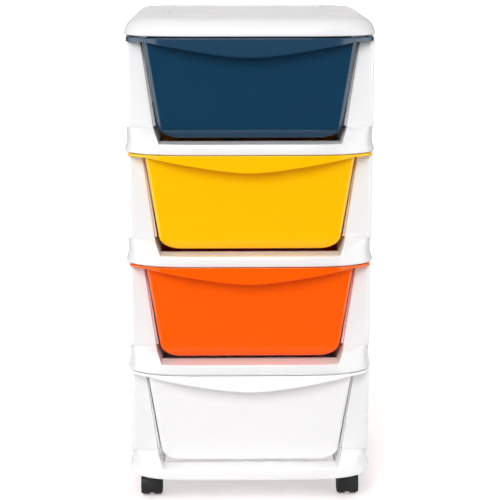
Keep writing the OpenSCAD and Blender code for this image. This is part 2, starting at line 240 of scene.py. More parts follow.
def slab(low, high, width=0.4):
    """Block between two corners, with small rounded edges."""
    low, high = np.array(low, float), np.array(high, float)
    bm = bmesh.new()
    bmesh.ops.create_cube(bm, size=1)
    for vert in bm.verts:
        vert.co = Vector((low + (np.array(vert.co) + 0.5) * (high - low)) * MM)
    bmesh.ops.bevel(bm, geom=list(bm.edges), offset=width * MM, segments=2, affect="EDGES", profile=0.5)
    mesh = bpy.data.meshes.new("slab")
    bm.to_mesh(mesh)
    bm.free()
    return mesh


def plate(points, y0, y1, width=0.4):
    """Plate in the xz plane, from y0 to y1. Its points run clockwise as seen from the front."""
    n = len(points)
    corners = [(x, y, z) for y in (y0, y1) for x, z in points]
    faces = [list(range(n)), list(range(2 * n - 1, n - 1, -1))]
    faces += [[(i + 1) % n, i, n + i, n + (i + 1) % n] for i in range(n)]
    bm = bmesh.new()
    verts = [bm.verts.new(Vector(p) * MM) for p in corners]
    for face in faces:
        bm.faces.new([verts[i] for i in face])
    bmesh.ops.recalc_face_normals(bm, faces=bm.faces)
    bmesh.ops.bevel(bm, geom=list(bm.edges), offset=width * MM, segments=2, affect="EDGES", profile=0.5)
    mesh = bpy.data.meshes.new("plate")
    bm.to_mesh(mesh)
    bm.free()
    return mesh


def joined(name, parts, smooth=40):
    """One mesh of several. Each part is a mesh, or a mesh and the matrix that places it."""
    bm = bmesh.new()
    for part in parts:
        mesh, place = part if isinstance(part, tuple) else (part, Matrix.Identity(4))
        piece = mesh.copy()
        piece.transform(place)
        if place.determinant() < 0:
            piece.flip_normals()
        bm.from_mesh(piece)
        bpy.data.meshes.remove(piece)
    whole = bpy.data.meshes.new(name)
    bm.to_mesh(whole)
    bm.free()
    whole.polygons.foreach_set("use_smooth", [True] * len(whole.polygons))
    whole.set_sharp_from_angle(angle=math.radians(smooth))
    return whole


def at(x, y, z):
    return Matrix.Translation(Vector((x, y, z)) * MM)


def on_tier(k):
    """Where tier k's rim is."""
    return at(0, FRONT_Y, RIM_FLOOR + PITCH * (k - 1))


MIRROR = Matrix.Scale(-1, 4, (1, 0, 0))


def piece(name, mesh, place, finish, body, slot, *nodes):
    """Puts a finished mesh in the tower, where it stands for these CAD nodes."""
    own = mesh.copy()
    own.name = name
    own.transform(place)
    if place.determinant() < 0:
        own.flip_normals()
    own.materials.clear()
    own.materials.append(finish)
    thing = new_object(name, own)
    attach(thing, body)
    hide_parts(*nodes)


# ---- node trees -------------------------------------------------------------------------------
class Wire:
    """A node's output that takes Python arithmetic: each operation adds a Math node."""

    def __init__(self, socket):
        self.socket = socket

    def _math(self, operation, first, second):
        graph = Graph(self.socket.id_data)
        return graph.add("ShaderNodeMath", {"operation": operation}, {0: first, 1: second})[0]

    def __add__(self, other):
        return self._math("ADD", self, other)

    def __radd__(self, other):
        return self._math("ADD", other, self)

    def __sub__(self, other):
        return self._math("SUBTRACT", self, other)

    def __rsub__(self, other):
        return self._math("SUBTRACT", other, self)

    def __mul__(self, other):
        return self._math("MULTIPLY", self, other)

    def __rmul__(self, other):
        return self._math("MULTIPLY", other, self)

    def __truediv__(self, other):
        return self._math("DIVIDE", self, other)

    def __rtruediv__(self, other):
        return self._math("DIVIDE", other, self)


class Added:
    """A node that was added: indexing it gives an output as a Wire."""

    def __init__(self, node):
        self.node = node

    def __getitem__(self, key):
        return Wire(self.node.outputs[key])


class Graph:
    """Adds nodes to a tree."""

    def __init__(self, tree):
        self.tree = tree

    def add(self, kind, settings=None, sockets=None):
        """A node of this type: its settings are set first, then its sockets' values or links."""
        node = self.tree.nodes.new(kind)
        for key, value in (settings or {}).items():
            if key == "stops":
                self._ramp(node.color_ramp, value)
            else:
                setattr(node, key, value)
        for key, value in (sockets or {}).items():
            if isinstance(value, Wire):
                self.tree.links.new(value.socket, node.inputs[key])
            else:
                node.inputs[key].default_value = value
        return Added(node)

    def _ramp(self, ramp, stops):
        while len(ramp.elements) > 1:
            ramp.elements.remove(ramp.elements[-1])
        ramp.elements[0].position = stops[0][0]
        ramp.elements[0].color = stops[0][1]
        for position, colour in stops[1:]:
            ramp.elements.new(position).color = colour


# ---- what repeats -----------------------------------------------------------------------------
def repeat_tree(name, vector_input, wire_up):
    """A geometry tree that repeats the mesh it is put on. wire_up adds its own points and turns."""
    tree = bpy.data.node_groups.new(name, "GeometryNodeTree")
    face = tree.interface
    face.new_socket("Geometry", in_out="INPUT", socket_type="NodeSocketGeometry")
    face.new_socket("Count", in_out="INPUT", socket_type="NodeSocketInt")
    face.new_socket(vector_input, in_out="INPUT", socket_type="NodeSocketVector")
    face.new_socket("Finish", in_out="INPUT", socket_type="NodeSocketMaterial")
    face.new_socket("Geometry", in_out="OUTPUT", socket_type="NodeSocketGeometry")
    graph = Graph(tree)
    given = graph.add("NodeGroupInput")
    placed = wire_up(graph, given)
    solid = graph.add("GeometryNodeRealizeInstances", sockets={"Geometry": placed["Instances"]})
    done = graph.add("GeometryNodeSetMaterial", sockets={
        "Geometry": solid["Geometry"], "Material": given["Finish"]})
    graph.add("NodeGroupOutput", sockets={"Geometry": done["Geometry"]})
    return tree


def row_points(graph, given):
    """Copies in a straight row, one step apart."""
    line = graph.add("GeometryNodeMeshLine", {"mode": "OFFSET"},
                     {"Count": given["Count"], "Offset": given["Step"]})
    return graph.add("GeometryNodeInstanceOnPoints",
                     sockets={"Points": line["Mesh"], "Instance": given["Geometry"]})


def ring_points(graph, given):
    """Copies turned about the axis, at even angles."""
    line = graph.add("GeometryNodeMeshLine", {"mode": "OFFSET"},
                     {"Count": given["Count"], "Offset": (0, 0, 0)})
    index = graph.add("GeometryNodeInputIndex")["Index"]
    angle = index * (2 * math.pi) / given["Count"]
    turned = graph.add("FunctionNodeAxisAngleToRotation", sockets={"Axis": given["Axis"], "Angle": angle})
    return graph.add("GeometryNodeInstanceOnPoints", sockets={
        "Points": line["Mesh"], "Instance": given["Geometry"], "Rotation": turned["Rotation"]})


ROW = repeat_tree("row_of_ribs", "Step", row_points)
RING = repeat_tree("ring_of_ribs", "Axis", ring_points)


def repeated(mesh, tree, finish, **values):
    """The mesh repeated by a geometry tree, as one plain mesh."""
    thing = new_object("work", mesh)
    modifier = thing.modifiers.new("repeat", "NODES")
    modifier.node_group = tree
    values["Finish"] = finish
    for item in tree.interface.items_tree:
        if item.in_out == "INPUT" and item.name in values:
            modifier[item.identifier] = values[item.name]
    return taken(thing)


# ---- finishes ---------------------------------------------------------------------------------
def blank_finish(name):
    """A new material with an empty tree, and the graph that fills it."""
    finish = bpy.data.materials.new(name)
    finish.use_nodes = True
    finish.node_tree.nodes.clear()
    return finish, Graph(finish.node_tree)


def moulded(name, colour, shade, roughness=0.22, specular=0.35, mirror=(1, 1, 1), grain=0.02,
            clouds=7.0, depth=0.0, reach=0.010):
    """Injection-moulded plastic: faint clouds in the colour, uneven gloss and a very fine orange
    peel. Light goes through thin walls of it where depth is above 0, as far as reach in metres."""
    finish, graph = blank_finish(name)
    place = graph.add("ShaderNodeTexCoord")["Object"]
    cloud = graph.add("ShaderNodeTexNoise", sockets={"Vector": place, "Scale": clouds, "Detail": 3.0})[0]
    flow = graph.add("ShaderNodeMapping", sockets={"Vector": place, "Scale": (6.0, 6.0, 40.0)})["Vector"]
    streak = graph.add("ShaderNodeTexNoise", sockets={"Vector": flow, "Scale": 1.0, "Detail": 2.0})[0]
    peel = graph.add("ShaderNodeTexNoise", sockets={"Vector": place, "Scale": 420.0, "Detail": 2.0})[0]
    amount = cloud * 0.6 + streak * 0.4
    tint = graph.add("ShaderNodeMix", {"data_type": "RGBA"},
                     {"Factor": amount, "A": (*colour, 1), "B": (*shade, 1)})
    gloss = roughness + (streak - 0.5) * 0.08 + (cloud - 0.5) * 0.06
    bump = graph.add("ShaderNodeBump", sockets={"Height": peel, "Strength": grain, "Distance": 0.0004})
    shader = graph.add("ShaderNodeBsdfPrincipled", sockets={
        "Base Color": Wire(tint.node.outputs[2]), "Roughness": gloss, "Normal": bump["Normal"],
        "Specular IOR Level": specular, "Specular Tint": (*mirror, 1), "Subsurface Weight": depth,
        "Subsurface Radius": (1.0, 1.0, 1.0), "Subsurface Scale": reach})
    graph.add("ShaderNodeOutputMaterial", sockets={"Surface": shader["BSDF"]})
    return finish


def steel(name):
    """Zinc-plated pin steel with fine drawn lines along it."""
    finish, graph = blank_finish(name)
    place = graph.add("ShaderNodeTexCoord")["Object"]
    along = (900.0, 900.0, 60.0)
    drawn = graph.add("ShaderNodeMapping", sockets={"Vector": place, "Scale": along})["Vector"]
    lines = graph.add("ShaderNodeTexNoise", sockets={"Vector": drawn, "Scale": 1.0, "Detail": 3.0})[0]
    greys = [(0.3, (0.48, 0.48, 0.5, 1)), (0.7, (0.66, 0.66, 0.67, 1))]
    tint = graph.add("ShaderNodeValToRGB", {"stops": greys}, {"Fac": lines})
    bump = graph.add("ShaderNodeBump", sockets={"Height": lines, "Strength": 0.1, "Distance": 0.0001})
    shader = graph.add("ShaderNodeBsdfPrincipled", sockets={
        "Base Color": tint["Color"], "Roughness": 0.25 + lines * 0.15, "Metallic": 1.0,
        "Normal": bump["Normal"]})
    graph.add("ShaderNodeOutputMaterial", sockets={"Surface": shader["BSDF"]})
    return finish


white_plastic = moulded("white_plastic", (0.98, 0.98, 0.99), (0.965, 0.965, 0.98), roughness=0.16,
                        specular=0.5, depth=0.5)
panel_plastic = moulded("panel_plastic", (0.985, 0.985, 0.995), (0.97, 0.97, 0.985), roughness=0.26,
                        depth=0.4)
drawer_plastic = {
    1: moulded("white_drawer", (0.98, 0.98, 0.99), (0.965, 0.965, 0.98), roughness=0.14, depth=0.3),
    2: moulded("orange_drawer", (1.0, 0.115, 0.0), (0.97, 0.100, 0.0), roughness=0.14, specular=0.5,
               mirror=(1.0, 0.8, 0.5)),
    3: moulded("yellow_drawer", (1.0, 0.54, 0.0), (0.97, 0.51, 0.0), roughness=0.14, specular=0.5,
               mirror=(1.0, 0.85, 0.5)),
    4: moulded("blue_drawer", (0.0065, 0.044, 0.095), (0.005, 0.039, 0.085), roughness=0.14, specular=0.5),
}
DRAWER_SLOTS = {1: "white_drawer", 2: "orange_drawer", 3: "yellow_drawer", 4: "blue_drawer"}
caster_plastic = moulded("caster_plastic", (0.009, 0.009, 0.010), (0.015, 0.015, 0.016), roughness=0.45,
                         grain=0.08, clouds=60.0)
wheel_plastic = moulded("wheel_plastic", (0.008, 0.008, 0.009), (0.013, 0.013, 0.014), roughness=0.4,
                        grain=0.06, clouds=80.0)
pin_steel = steel("pin_steel")


# ---- frames -----------------------------------------------------------------------------------
def frame_outline(z):
    u = quarter((z - RIM_Z) / (FRAME_H - RIM_Z))
    roll = ROUND * quarter((RIM_Z - z) / RIM_Z)
    flare = FLARE * (1 - np.clip((z - RIM_Z) / FLARE_H, 0, 1)) ** 2
    return Outline(WALL_X + flare - roll, NOSE * u + roll, DEPTH - NOSE * u - roll,
                   (mix(RIM_CORNER[0], PANEL_R, u), mix(RIM_CORNER[1], PANEL_R, u)),
                   mix(RIM_POWER, 2, u))


def window_x(z):
    """Half width of the drawer window at height z."""
    return mix(*WINDOW, np.clip((z - RAIL_H) / (FRAME_H - RAIL_H), 0, 1))


def frame_skin():
    """The upper and outer skin of a frame: nose, ledge, deck and the walls of the drawer window."""
    counts = [24, 18, 22, 22, 24]
    ledge = counts[0]

    def row(z, first=0):
        outline = frame_outline(z)
        stops = [0, outline.reach_x(window_x(z)), "front_corner", "side", "rear_corner", "rear"]
        return outline.walk(stops, counts, z)[first:]

    def nose_heights(start, end, steps):
        return [RIM_Z + (FRAME_H - RIM_Z) * math.sin(a) for a in np.linspace(start, end, steps + 1)[1:-1]]

    rail_angle = math.asin((RAIL_H - RIM_Z) / (FRAME_H - RIM_Z))
    low_z = [0, 1, RIM_Z, *nose_heights(0, rail_angle, 6), RAIL_H]
    high_z = [RAIL_H, *nose_heights(rail_angle, math.pi / 2, 19), FRAME_H]
    steps = np.linspace(0, 1, 8)
    skin = Skin()
    skin.grid([row(z) for z in low_z])
    skin.grid([row(z, ledge) for z in high_z])

    # the ledge in front of the drawer, and its wall down to the rim
    front = row(RAIL_H)[:ledge + 1]
    inner = np.column_stack([np.linspace(0, WINDOW[0], ledge + 1), np.full(ledge + 1, RAIL_D),
                             np.full(ledge + 1, RAIL_H)])
    skin.grid(lerp_rows(front, inner, steps))
    foot_z = np.linspace(RAIL_H, 0, 5)
    skin.grid([inner * (1, 1, 0) + (0, 0, z) for z in foot_z])

    # the window's side walls where they pass the ledge
    cheek = []
    for z in high_z:
        nose = row(z)[ledge]
        cheek.append(lerp_rows(nose, np.array([nose[0], RAIL_D, z]), steps))
    skin.grid(np.array(cheek)[:, ::-1])

    # the deck, and the window's walls behind the ledge
    window_rear = DEPTH - RAIL_D
    top = WINDOW[1]
    stops = [(top, RAIL_D), (top, RAIL_D + 15), (top, DEPTH / 2), (top, window_rear), (0, window_rear)]
    edge = [np.array([stops[0]])]
    for start, end, count in zip(stops, stops[1:], counts[1:]):
        edge.append(np.linspace(start, end, count + 1)[1:])
    edge = np.concatenate(edge)
    edge = np.column_stack([edge, np.full(len(edge), FRAME_H)])
    skin.grid(lerp_rows(row(FRAME_H, ledge), edge, steps))

    def window_row(z):
        return np.column_stack([edge[:, 0] * window_x(z) / top, edge[:, 1], np.full(len(edge), z)])

    skin.grid([window_row(z) for z in high_z[::-1]])
    skin.grid([window_row(RAIL_H) * (1, 1, 0) + (0, 0, z) for z in foot_z])
    return skin.mirrored().mesh("frame_skin")


def channel_parts(high):
    """The webs beside the panels' tongues, up to this height, and the stops that rest on them."""
    outer = TONGUE_X - TONGUE_T - 0.5
    web = slab((outer - SHELL, RAIL_D, 0), (outer, DEPTH - RAIL_D, high))
    stop = slab((outer - SHELL, 70, TONGUE_H + 0.2), (WALL_X - 1, DEPTH - 70, TONGUE_H + 2.2))
    return [web, stop]


def both_sides(parts):
    return [(part, side) for part in parts for side in (Matrix.Identity(4), MIRROR)]


def frame_parts():
    shell = settled(frame_skin(), wall(), bevel())
    inner = WALL_X - SHELL - 0.3
    ridge = slab((inner - 2.6, NOSE + 20, FRAME_H - 1), (inner, DEPTH - NOSE - 20, FRAME_H + 5), 0.8)
    return [shell] + both_sides(channel_parts(FRAME_H - 2) + [ridge])


def lathe(profile, steps=48):
    """Shape turned about the z axis. The profile is closed and runs counter-clockwise in radius
    and height."""
    rows = []
    for a in np.linspace(0, 2 * math.pi, steps, endpoint=False):
        rows.append([(r * math.cos(a), r * math.sin(a), z) for r, z in profile])
    rows = np.array(rows)
    skin = Skin()
    skin.grid(np.concatenate([rows, rows[:1]]), wrap=True)
    return skin.mesh("turned")


def socket_parts():
    """A stem's socket under the base frame's deck, with the four ribs that brace it."""
    low, top = BOSS_Z + 0.3 - RIM_FLOOR, FRAME_H - 2
    bore, outer, edge = STEM_R + 0.05, 9, 0.6
    sleeve = lathe([(bore, low + edge), (bore + edge, low), (outer - edge, low), (outer, low + edge),
                    (outer, top), (bore, top)])
    rib_end, rib_t = 16, 2.5
    rib = slab((outer - 1.5, -rib_t / 2, low + 4), (rib_end, rib_t / 2, top), 0.3)
    ribs = repeated(rib, RING, white_plastic, Count=4, Axis=(0.0, 0.0, 1.0))
    return [sleeve, ribs]


def stem_places():
    """The four stems, in the tower's own millimetres."""
    for i, corner in enumerate(CORNERS):
        x = STEM_X * (1 if i % 2 else -1)
        y = STEM_Y if i < 2 else DEPTH - STEM_Y
        yield corner, x, y


frame_mesh = joined("frame", frame_parts())
sockets = [(mesh, at(x, y, 0)) for _, x, y in stem_places() for mesh in socket_parts()]
base_mesh = joined("base", frame_parts() + sockets)
piece("base_moulding", base_mesh, on_tier(1), white_plastic, "tower", "white_plastic", "base_frame")
for k in range(1, TIERS):
    piece(f"divider_moulding_{k}", frame_mesh, on_tier(k + 1), white_plastic, "tower", "white_plastic",
          f"divider_frame_{k}")


# ---- cover ------------------------------------------------------------------------------------
def cover_skin():
    """The cover's skin: domed skirt, flat top and the shallow tray in it."""
    counts = [26, 18, 24, 24, 26]
    stops = ["front", "front_turn", "front_corner", "side", "rear_corner", "rear"]

    def cover_row(z, inset=0.0):
        s = COVER_ROUND * quarter(z / COVER_H) + inset
        return Outline(COVER_HALF - s, s, DEPTH - s, (RIM_CORNER[0] - s, RIM_CORNER[1] - s),
                       RIM_POWER).walk(stops, counts, z)

    def tray_row(grow, z):
        return Outline(TRAY_HALF + grow, TRAY_EDGE - grow, DEPTH - TRAY_EDGE + grow,
                       (TRAY_CORNER + grow,) * 2).walk(stops, counts, z)

    rows = [cover_row(0, 0.6), cover_row(0.3, 0.2), cover_row(1)]
    rows += [cover_row(COVER_H * math.sin(a)) for a in turn(22)[1:]]
    lip = tray_row(1.2, COVER_H)
    rows += lerp_rows(rows[-1], lip, (0.1, 0.4, 0.8, 1))
    floor = COVER_H - TRAY_H
    rows += [tray_row(0.9, COVER_H - 0.1), tray_row(0.6, COVER_H - 0.4), tray_row(0.2, floor + 0.3),
             tray_row(-0.3, floor)]
    middle = np.array([0, DEPTH / 2, floor])
    rows += lerp_rows(rows[-1], np.broadcast_to(middle, rows[-1].shape), (0.02, 0.2, 0.5, 0.8, 1))
    skin = Skin()
    skin.grid(rows)
    return skin.mirrored().mesh("cover_skin")


def cover_parts():
    shell = (settled(cover_skin(), wall()), at(0, 0, COVER_LIFT))
    return [shell] + both_sides(channel_parts(16))


piece("cover_moulding", joined("cover", cover_parts()), on_tier(TIERS + 1), white_plastic, "tower",
      "white_plastic", "top_cover")


# ---- wall panels ------------------------------------------------------------------------------
def opening(z):
    """Half width between the panels' returns at height z."""
    return mix(WINDOW[1], OPENING_TOP, (z - FRAME_H) / (RUNNER_Z - FRAME_H))


def arc(cx, cy, radius, start, end, steps=6):
    """Points of an arc, from and to these angles in degrees."""
    a = np.radians(np.linspace(start, end, steps + 1))
    return np.column_stack([cx + radius * np.cos(a), cy + radius * np.sin(a)])


def stretch(start, end, steps):
    return np.linspace(start, end, steps + 1)[1:-1]


def panel_skin():
    """A right-hand panel's outer skin: inner flange, front return, wall, rear return and inner flange."""
    edge_r = 1.5

    def row(z):
        x = opening(z)
        front_half = [
            [(x, NOSE + RETURN_D)], stretch((x, NOSE + RETURN_D), (x, NOSE + edge_r), 7),
            arc(x + edge_r, NOSE + edge_r, edge_r, 180, 270),
            stretch((x + edge_r, NOSE), (WALL_X - PANEL_R, NOSE), 8),
            arc(WALL_X - PANEL_R, NOSE + PANEL_R, PANEL_R, 270, 360, 12),
            stretch((WALL_X, NOSE + PANEL_R), (WALL_X, DEPTH / 2), 14), [(WALL_X, DEPTH / 2)]]
        front_half = np.concatenate([np.atleast_2d(part) for part in front_half])
        rear_half = (front_half * (1, -1) + (0, DEPTH))[-2::-1]
        plan = np.concatenate([front_half, rear_half])
        return np.column_stack([plan, np.full(len(plan), z)])

    rows = np.array([row(z) for z in np.linspace(FRAME_H, RUNNER_Z, 14)])
    skin = Skin()
    skin.grid(rows)
    on_wall = np.flatnonzero((rows[0][:, 0] > FLANGE_X + 1) | (rows[0][:, 1] > PANEL_REAR - 0.1))
    wall_top = rows[-1][on_wall[0]:on_wall[-1] + 1]
    skin.grid([wall_top + (0, 0, rise) for rise in np.linspace(0, WALL_TOP - RUNNER_Z, 3)])
    return skin.mesh("panel_skin")


def panel_parts():
    """A right-hand panel: its shell, the runner, what reaches into the frame above, and the bead."""
    shell = settled(panel_skin(), wall(), bevel(0.4, 50, 2))
    inner, run_low = WALL_X - SHELL, RUNNER_Z - RUNNER_T
    runner = slab((RUNNER_X, NOSE + PANEL_R, run_low), (inner + 1, PANEL_REAR - PANEL_R, RUNNER_Z), 0.5)
    runner_ends = slab((RUNNER_X, NOSE + 1, run_low), (inner - PANEL_R / 2, PANEL_REAR - 1, RUNNER_Z), 0.5)

    tongue_x, tongue_y = TONGUE_X - TONGUE_T, (NOSE + 22, PANEL_REAR - 22)
    shoulder = slab((tongue_x, tongue_y[0], RUNNER_Z - 1), (WALL_X - 1, tongue_y[1], PITCH + SHOULDER_H),
                    0.5)
    tongue = slab((tongue_x, tongue_y[0], PITCH - 1), (TONGUE_X, tongue_y[1], PITCH + TONGUE_H), 0.5)

    count, reach, root = 5, 25, RUNNER_Z - 1
    gap = (PANEL_REAR - NOSE) / (count + 1)
    gusset = plate([(RUNNER_X + 3, root), (inner + 1, root), (inner + 1, root - reach)],
                   NOSE + gap - 1, NOSE + gap + 1, 0.3)
    gussets = repeated(gusset, ROW, panel_plastic, Count=count, Step=(0.0, gap * MM, 0.0))

    low, high = FRAME_H + 0.5, RUNNER_Z - 6
    bead = plate([(opening(low) - BEAD[0], low), (opening(high) - BEAD[1], high), (opening(high) + 1, high),
                  (opening(low) + 1, low)], NOSE + 9, NOSE + 12, 0.6)
    return [shell, runner, runner_ends, shoulder, tongue, gussets, bead]


def rear_skin():
    """Half of a back panel's skin: the plate, its hook beside the side panel and its tongue."""
    hook, corner_r, gap = 14, 1.5, 0.3

    def row(z):
        x = opening(z) - gap
        plan = np.concatenate([
            [(x, PANEL_REAR - hook)], stretch((x, PANEL_REAR - hook), (x, PANEL_REAR - corner_r), 4),
            arc(x - corner_r, PANEL_REAR - corner_r, corner_r, 0, 90),
            np.linspace((x - corner_r, PANEL_REAR), (0, PANEL_REAR), 13)[1:]])
        return np.column_stack([plan, np.full(len(plan), z)])

    rows = np.array([row(z) for z in np.linspace(FRAME_H, RUNNER_Z, 12)])
    skin = Skin()
    skin.grid(rows)
    flat = rows[-1][-13:]
    skin.grid([flat + (0, 0, rise) for rise in np.linspace(0, PITCH + TONGUE_H - RUNNER_Z, 4)])
    return skin.mirrored().mesh("rear_skin")


panel_mesh = joined("panel", panel_parts())
rear_mesh = joined("rear_panel", [settled(rear_skin(), wall(), bevel(0.4, 50, 2))])
for k in range(1, TIERS + 1):
    for side, sign in SIDES.items():
        place = on_tier(k) if sign > 0 else on_tier(k) @ MIRROR
        piece(f"{side}_wall_{k}", panel_mesh, place, panel_plastic, "tower", "panel_plastic",
              f"{side}_panel_{k}")
    piece(f"rear_wall_{k}", rear_mesh, on_tier(k), panel_plastic, "tower", "panel_plastic",
          f"back_panel_{k}")


# ---- drawers ----------------------------------------------------------------------------------
TUB_STOPS = ["front", "front_turn", "front_end", "rear_start", "rear_turn", "rear"]
TUB_COUNTS = [38, 16, 36, 12, 24]
STEP_COUNTS = (1, 2)                      # columns on the two short edges at the end of the lip


def tub_row(z, t=0.0, rise=0.0):
    """A tub's outline at height z above its underside, pulled in by t and drawn rise higher."""
    side = TUB_SLOPE[0] * (TUB_H - z) + FOOT_SIDE[0] * quarter(1 - z / FOOT_SIDE[1]) + t
    end = TUB_SLOPE[1] * (TUB_H - z) + FOOT_END[0] * quarter(1 - z / FOOT_END[1]) + t
    outline = Outline(TUB_TOP - side, TUB_FRONT + end, TUB_REAR - end, (TUB_CORNER - t,) * 2)
    return outline.walk(TUB_STOPS, TUB_COUNTS, TUB_LOW + z + rise)


def edge_row(t, z):
    """The outer edge of the flange with the pull lip, pulled in by t."""
    lip = Outline(WIDTH / 2 - t, t - LIP_PROUD, DEPTH, (RIM_CORNER[0] - t, RIM_CORNER[1] - t), RIM_POWER)
    end = min(lip.reach_x(LIP_HALF - t), lip.reach_y(LIP_REAR - t))
    turn_at = lip.reach_x(TUB_TOP - TUB_CORNER - 5)
    arc_part = lip.walk([0, turn_at, end], TUB_COUNTS[:2], z)
    tip = np.array([min(LIP_HALF - t, arc_part[-1][0]), LIP_REAR - t])
    notch = np.array([FLANGE_X - t, LIP_REAR - t])
    straight_end = np.array([FLANGE_X - t, FLANGE_REAR - 2])
    counts = list(STEP_COUNTS) + [TUB_COUNTS[2] - sum(STEP_COUNTS)]
    path = [arc_part[:, :2]]
    for start, stop, count in zip((arc_part[-1][:2], tip, notch), (tip, notch, straight_end), counts):
        path.append(np.linspace(start, stop, count + 1)[1:])
    path.append(arc(FLANGE_X - 2, FLANGE_REAR - 2, 2 - min(t, 1.8), 0, 90, TUB_COUNTS[3])[1:])
    path.append(np.linspace((FLANGE_X - 2, FLANGE_REAR - t), (0, FLANGE_REAR - t), TUB_COUNTS[4] + 1)[1:])
    path = np.concatenate(path)
    return np.column_stack([path, np.full(len(path), float(z))])


def drawer_skin(lip_rise):
    """A drawer as one closed skin, from the floor inside, over the flange and lip, to the underside."""
    flat = edge_row(0, 0)
    slope = np.sqrt(APRON_SOFT ** 2 + (APRON_SLOPE * flat[:, 0]) ** 2) - APRON_SOFT
    drop = np.maximum(0, APRON_DROP - slope)
    drop[sum(TUB_COUNTS[:2]) + 1:] = 0
    low = FLANGE_Z - drop

    def skirt(t, heights):
        row = edge_row(t, 0)
        row[:, 2] = heights
        return row

    feet = sorted({0.0, *(FOOT_SIDE[1] * (1 - np.sin(turn(9)))), *(FOOT_END[1] * (1 - np.sin(turn(7))))})
    heights = [z for i, z in enumerate(feet) if i == 0 or z - feet[i - 1] > 0.05]
    heights += [32, 50, 70, 90, 110, 130]
    middle = np.array([0, (TUB_FRONT + TUB_REAR) / 2, 0])

    # inside, from the middle of the floor up to the rounded top edge
    floor = tub_row(0, TUB_T, TUB_FLOOR)
    inside = [floor + (middle + (0, 0, TUB_LOW + TUB_FLOOR) - floor) * f for f in (1, 0.8, 0.5, 0.2, 0.04)]
    inside += [tub_row(z, TUB_T, TUB_FLOOR) for z in heights]
    inside += [tub_row(TUB_H - TUB_FLOOR - rise, TUB_T - shift, TUB_FLOOR)
               for rise, shift in ((3, 0), (1, 0), (0.3, 0.3), (0, 1))]

    # the flange's top, the lip's rim, its apron and the apron's lower edge
    rim_r = 1.2
    on_lip = (np.arange(len(flat)) <= sum(TUB_COUNTS[:2])) * lip_rise
    top = FLANGE_TOP + on_lip
    foot = [(1.2, 0), (0.3, 0.03), (0, 0.12)]
    bend = [(rim_r * (math.cos(a) - 1), 1 - (1 - math.sin(a)) / 3) for a in turn(4)]
    brim = [skirt(APRON_T + t, FLANGE_TOP + on_lip * share) for t, share in foot + bend]
    brim += [skirt(rim_r * (1 - math.sin(a)), top - rim_r * (1 - math.cos(a))) for a in turn(5)]
    brim += [skirt(0, mix(top - rim_r, low + ROUND, f)) for f in (0.08, 0.3, 0.55, 0.8, 0.94, 1)]
    brim += [skirt(ROUND * (1 - math.cos(a)), low + ROUND * (1 - math.sin(a))) for a in turn(3)[1:]]
    brim += [skirt(APRON_T - ROUND * (1 - math.sin(a)),
                   np.minimum(low + ROUND * (1 - math.cos(a)), FLANGE_Z)) for a in turn(3)]
    brim += [skirt(APRON_T, mix(np.minimum(low + ROUND, FLANGE_Z), FLANGE_Z, f)) for f in (0.3, 0.7, 1)]

    # outside, from under the flange down to the middle of the underside
    neck = TUB_H - FLANGE_T
    outside = [tub_row(neck, -2.5), tub_row(neck, -1.5), tub_row(neck - 0.44, -0.44), tub_row(neck - 1.5)]
    outside += [tub_row(z) for z in heights[::-1]]
    base = outside[-1]
    outside += [base + (middle + (0, 0, TUB_LOW) - base) * f for f in (0.04, 0.2, 0.5, 0.8, 1)]
    skin = Skin()
    skin.grid(np.array(inside + brim + outside), flip=True)
    return skin.mirrored().mesh("drawer_skin", weld=0.004)


for k in range(1, TIERS + 1):
    drawer_mesh = joined("drawer", [drawer_skin(TOP_LIP_RISE if k == TIERS else LIP_RISE)], smooth=50)
    piece(f"{TIER_NAMES[k - 1]}_drawer", drawer_mesh, on_tier(k), drawer_plastic[k], f"drawer_{k}",
          DRAWER_SLOTS[k], f"drawer_{k}")


# ---- casters ----------------------------------------------------------------------------------
def around_axle(radius, degrees):
    """A place in the plane across the axle: angles turn from the back, over the top, to the front."""
    a = math.radians(degrees)
    return TRAIL + radius * math.cos(a), WHEEL_R + radius * math.sin(a)


def outward_mesh(mesh):
    """A closed mesh with its faces turned outwards."""
    bm = bmesh.new()
    bm.from_mesh(mesh)
    bmesh.ops.recalc_face_normals(bm, faces=bm.faces)
    bm.to_mesh(mesh)
    bm.free()
    return mesh


def fender():
    """The curved guard over both wheels."""
    half, r0, r1, soft, steps = (CASTER_W - 0.8) / 2, HOOD_R[0], HOOD_R[1], 0.7, 43
    section = []
    for cx, cr, start in ((half - soft, r1 - soft, 0), (-half + soft, r1 - soft, 90),
                          (-half + soft, r0 + soft, 180), (half - soft, r0 + soft, 270)):
        section += list(map(tuple, arc(cx, cr, soft, start, start + 90, 4)))
    rows = []
    for degrees in np.linspace(*HOOD_SPAN, steps + 1):
        rows.append([(x, *around_axle(r, degrees)) for x, r in section])
    skin = Skin()
    skin.grid(rows, wrap=True)
    count = len(section)
    skin.faces += [list(range(count))[::-1], [steps * count + i for i in range(count)]]
    return outward_mesh(skin.mesh("fender"))


def hood_web():
    """The plate between the wheels, with the hub that holds the axle."""
    start, end = HOOD_SPAN[0] + 1, HOOD_SPAN[1] - 1
    rim = [around_axle(HOOD_R[0] + 0.5, a) for a in np.linspace(start, end, 40)]
    hub = [around_axle(HUB_R, a) for a in np.linspace(end, start + 360, 24)]
    points = rim + hub
    n = len(points)
    skin = Skin()
    skin.add([(x, y, z) for x in (-WEB_T / 2, WEB_T / 2) for y, z in points],
             [list(range(n)), list(range(2 * n - 1, n - 1, -1))]
             + [[i, n + i, n + (i + 1) % n, (i + 1) % n] for i in range(n)])
    return settled(outward_mesh(skin.mesh("web")), bevel(0.5, 50, 2))


